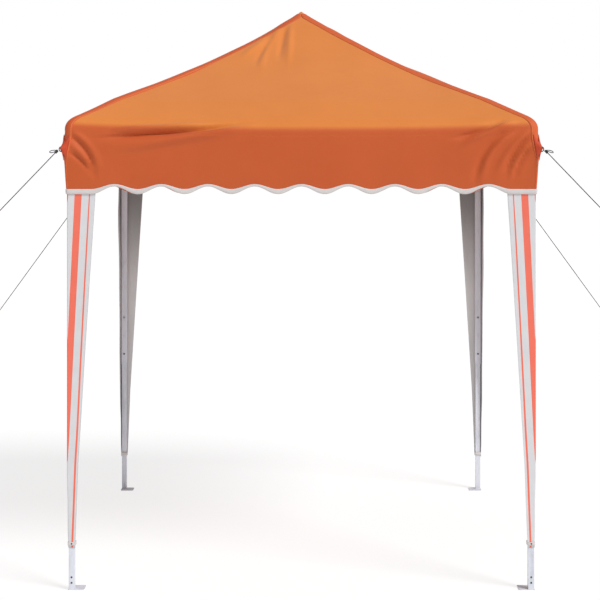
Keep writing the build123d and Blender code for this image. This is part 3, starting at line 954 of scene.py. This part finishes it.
def make_rope(corner):
    """A tight guy rope with its ring, knot and loose loop at the gusset and a knot at its far end."""
    start, along = rope_route(corner)
    length = ROPE_LENGTH[corner.split("_")[0]]
    count = int(length / 0.02)
    path = [start + along * (length * step / count) for step in range(count + 1)]
    rope = tube(f"{corner}_rope", path, ROPE_DIAMETER / 2, MATERIALS["rope"], 8, 160.0)
    body = f"{corner}_upper_leg"
    level = Vector((along.x, along.y, 0)).normalized()
    sideways = level.cross(Vector((0, 0, 1)))
    ring_at = start - level * 0.016 + Vector((0, 0, 0.004))
    turns = np.linspace(0, 2 * pi, 25)
    circle = [ring_at + 0.0095 * (cos(t) * level + sin(t) * Vector((0, 0, 1))) for t in turns]
    ring = tube(f"{corner}_rope_ring", circle, 0.0021, MATERIALS["joint_plastic"], 10)
    knot = join(f"{corner}_rope_knot", knot_turns(corner, start, along, 4, 0.0044))
    tail = make_tail(corner, start, level, sideways)
    far = start + along * length
    end_turns = knot_turns(f"{corner}_end", far - along * 0.004, along, 3, 0.0042)
    stopper = join(f"{corner}_rope_stopper", end_turns)
    for piece in (ring, knot, tail, stopper):
        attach(piece, body)
    for piece in (rope, tail, stopper):
        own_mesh(piece)
    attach(rope, body)
    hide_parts(f"{corner}_guy_rope")
    return rope


def knot_turns(name, start, along, count, radius):
    """Turns of rope wound round the rope itself."""
    side = along.orthogonal().normalized()
    other = along.cross(side)
    pieces = []
    for step in range(count):
        middle = start + along * (0.004 + 0.0034 * step)
        lean = 0.0016 * (1 if step % 2 else -1)
        circle = []
        for t in np.linspace(0, 2 * pi, 19):
            circle.append(middle + radius * (cos(t) * side + sin(t) * other) + along * lean * sin(t))
        pieces.append(tube(f"{name}_turn_{step}", circle, 0.0018, MATERIALS["rope"], 7, 160.0))
    return pieces


def make_tail(corner, start, level, sideways):
    """The loose bight of a slipped knot, pointing outwards and a little down."""
    path = []
    for t in np.linspace(0, 2 * pi, 33):
        out = 0.006 + 0.036 * (0.5 - 0.5 * cos(t))
        wide = 0.0055 * sin(t) * (0.4 + 0.6 * (0.5 - 0.5 * cos(t)))
        path.append(start + level * out + Vector((0, 0, -0.20 * out + wide)) + sideways * wide * 0.5)
    return tube(f"{corner}_rope_tail", path, 0.0017, MATERIALS["rope"], 7, 160.0)


# ---------------------------------------------------------------- curtains
CURTAIN_ROWS = 96
WING_COLUMNS = 26
BEND_COLUMNS = 6
BEND = 0.004


def curtain_reach(z):
    """How far the curtain's free edge is from the leg's axis."""
    heights, reaches = zip(*CURTAIN_EDGE)
    return np.interp(z, heights, reaches)


def curtain_stand(z):
    """How far the cloth stands from the leg's axis: room for the slider above, snug at the strap."""
    loose = 0.0166 + 0.0029 * smoothstep(0.36, 0.50, z)
    return loose - 0.0018 * np.exp(-(((z - STRAP_Z) / 0.03) ** 2))


def striped(q, z):
    """The cloth's own width coordinate for a distance q from the free edge, which places the stripes."""
    high = np.clip((z - 0.65) / 1.05, 0, 1)
    thin, thin_half = 0.0125 + 0.0125 * high, 0.0042 - 0.0020 * high
    main, main_end = 0.045 + 0.013 * high, 0.070 + 0.018 * high
    real = (0.0, thin - thin_half, thin + thin_half, main, main_end, 0.12, 0.3)
    drawn = (0.0, 0.023, 0.033, 0.057, 0.087, 0.118, 0.298)
    return np.interp(q, real, drawn)


def curtain_column(c, reach, stand):
    """A column's place before the waves: x, y, the normal's x and y, and its way in from the free edge."""
    wing = reach + stand - BEND
    if c <= WING_COLUMNS:
        q = wing * c / WING_COLUMNS
        return -stand, reach - q, -1.0, 0.0, q
    if c < WING_COLUMNS + BEND_COLUMNS:
        a = (c - WING_COLUMNS) / BEND_COLUMNS * pi / 2
        return -stand + BEND - BEND * cos(a), -stand + BEND - BEND * sin(a), -cos(a), -sin(a), wing
    q = wing * (2 * WING_COLUMNS + BEND_COLUMNS - c) / WING_COLUMNS
    return reach - q, -stand, 0.0, -1.0, q


def curtain_grid(corner):
    """The curtain's rows from top to bottom, drawn for the front left leg, and its cloth coordinates."""
    draw = np.random.default_rng(70 + list(CORNERS).index(corner))
    phases = draw.uniform(0, 2 * pi, 6)
    rows = []
    uv_rows = []
    for r in range(CURTAIN_ROWS + 1):
        z = CURTAIN_TOP_Z + (CURTAIN_BOTTOM_Z - CURTAIN_TOP_Z) * r / CURTAIN_ROWS
        reach, stand = float(curtain_reach(z)), float(curtain_stand(z))
        wing = reach + stand - BEND
        free = 1 - float(smoothstep(0.25, 0.9, 1 - (z - CURTAIN_BOTTOM_Z) / CURTAIN_HANG))
        sewn = float(smoothstep(1.68, 1.52, z))
        row, uv_row = [], []
        for c in range(2 * WING_COLUMNS + BEND_COLUMNS + 1):
            x, y, nx, ny, q = curtain_column(c, reach, stand)
            phase = phases[:3] if c < WING_COLUMNS + BEND_COLUMNS else phases[3:]
            loose = max(0.0, 1 - q / wing) ** 1.2
            wave = 0.0012 * sin(z * 7.3 + phase[0]) + 0.0008 * sin(z * 17.0 + phase[1])
            wave += 0.0006 * sin(q * 90.0 + z * 3.0 + phase[2]) * free
            push = (wave + 0.0026) * loose * (0.25 + 0.75 * free) * sewn
            row.append((x + nx * push - LEG_HALF, y + ny * push - LEG_HALF, z))
            uv_row.append((float(striped(q, z)), z))
        rows.append(row)
        uv_rows.append(uv_row)
    return rows, uv_rows


def make_curtain(corner):
    """A striped corner curtain: one sheet folded round the leg's two outer faces, tapering downwards."""
    rows, uv_rows = curtain_grid(corner)
    points = corner_points(rows, corner)
    uv = np.array(uv_rows)
    if turned(corner):
        points, uv = points[:, ::-1], uv[:, ::-1]
    piece = grid_mesh(f"{corner}_curtain_cloth", points, MATERIALS["curtain_fabric"], uv=uv)
    piece.data.materials.append(LINING)
    solid(piece, 0.0007).modifiers["thickness"].material_offset = 1
    hem = [curtain_hem(corner, points, column) for column in (0, -1)]
    strap, stud = make_strap(corner)
    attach(piece, f"{corner}_upper_leg")
    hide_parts(f"{corner}_curtain")
    trimmings = [*hem, strap, stud]
    for part in (piece, *trimmings):
        squash_with_leg(part)
    return piece, trimmings


def squash_with_leg(piece):
    """Gives a curtain piece its own copy of its mesh."""
    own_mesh(piece)


def curtain_hem(corner, points, column):
    """The turned edge of the cloth: a thin roll along the free edge."""
    name = f"{corner}_curtain_hem_{'side' if column == 0 else 'face'}"
    hem = tube(name, points[:, column], 0.0011, MATERIALS["curtain_fabric"], 6)
    layer = hem.data.uv_layers["cloth"]
    for item in layer.data:
        item.uv = (0.004, item.uv[0])
    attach(hem, f"{corner}_upper_leg")
    return hem


def make_strap(corner):
    """The hook-and-loop strap that ties the curtain's foot to the leg."""
    half = STRAP_HALF
    rows = []
    for z in np.linspace(STRAP_Z - STRAP_RISE, STRAP_Z + STRAP_RISE, 5):
        row = []
        for side in range(4):
            turn = side * pi / 2
            for a in np.linspace(0, pi / 2, 5):
                r = 0.004
                x, y = half - r + r * cos(a), half - r + r * sin(a)
                turned_x, turned_y = x * cos(turn) - y * sin(turn), x * sin(turn) + y * cos(turn)
                row.append((turned_x - LEG_HALF, turned_y - LEG_HALF, z))
        rows.append(row)
    points = corner_points(rows, corner)
    if turned(corner):
        points = points[:, ::-1]
    piece = grid_mesh(f"{corner}_curtain_strap", points, TRIM, closed=True)
    solid(piece, 0.001)
    face = -LEG_HALF - half
    dome = ((0.0, 0.0038), (0.0010, 0.0036), (0.0018, 0.0024), (0.0021, 0.0004))
    path = corner_points([(-LEG_HALF, face - rise, STRAP_Z) for rise, _ in dome], corner)
    stud = tube(f"{corner}_curtain_stud", path, [radius for _, radius in dome], RIVET, 14)
    for part, slot in ((piece, "curtain_fabric"), (stud, "button_steel")):
        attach(part, f"{corner}_upper_leg")
    return piece, stud


# ---------------------------------------------------------------- stage
def make_stage():
    """A plain pale floor that reaches far past the view."""
    wide = 60.0
    points = np.array([[(x, y, 0.0) for x in (-wide, wide)] for y in (-wide, wide)])
    shader = Shader("studio_paper", Roughness=0.9)
    shader.bsdf.inputs["Emission Color"].default_value = (1, 1, 1, 1)
    shader.bsdf.inputs["Emission Strength"].default_value = 0.72
    shade = shader.noise(shader.place(), 0.6, 2.0)
    colour = shader.mix(shade, (0.28, 0.28, 0.28, 1), (0.30, 0.30, 0.30, 1))
    paper = grid_mesh("studio_floor", points, shader.finish(Base_Color=colour))


def make_lights():
    """A broad soft key from the upper right in front, and an even pale surround seen as white."""
    world = bpy.data.worlds.new("studio")
    world.use_nodes = True
    tree = world.node_tree
    surround = tree.nodes["Background"]
    surround.inputs["Color"].default_value = (1, 1, 1, 1)
    seen = tree.nodes.new("ShaderNodeLightPath").outputs["Is Camera Ray"]
    strength = tree.nodes.new("ShaderNodeMapRange")
    tree.links.new(seen, strength.inputs["Value"])
    strength.inputs["To Min"].default_value = SURROUND
    strength.inputs["To Max"].default_value = 1.0
    tree.links.new(strength.outputs["Result"], surround.inputs["Strength"])
    bpy.context.scene.world = world
    data = bpy.data.lights.new("key", "SUN")
    data.energy = KEY_STRENGTH
    data.angle = radians(22)
    key = bpy.data.objects.new("key", data)
    key.rotation_euler = Vector(KEY_FROM).to_track_quat("Z", "Y").to_euler()
    bpy.context.scene.collection.objects.link(key)


def make_camera():
    """Level and facing the front, with the lens shifted down to bring the feet into view."""
    data = bpy.data.cameras.new("camera")
    data.sensor_width = 36.0
    data.lens = CAMERA_LENS
    data.shift_y = CAMERA_SHIFT
    camera = bpy.data.objects.new("camera", data)
    camera.location = CAMERA_PLACE
    camera.rotation_euler = (radians(90), 0, 0)
    bpy.context.scene.collection.objects.link(camera)
    bpy.context.scene.camera = camera


def build():
    make_camera()
    for corner in CORNERS:
        make_rope(corner)
    dress_nodes()
    canopy, points = make_canopy()
    trim = trim_band(points)
    gussets = [make_gusset(points, corner) for corner in CORNERS]
    tapes = [hip_tape(points, corner) for corner in CORNERS]
    for corner in CORNERS:
        curtain, trimmings = make_curtain(corner)
    make_stage()
    make_lights()
    bpy.context.scene.view_settings.view_transform = "Standard"


build()
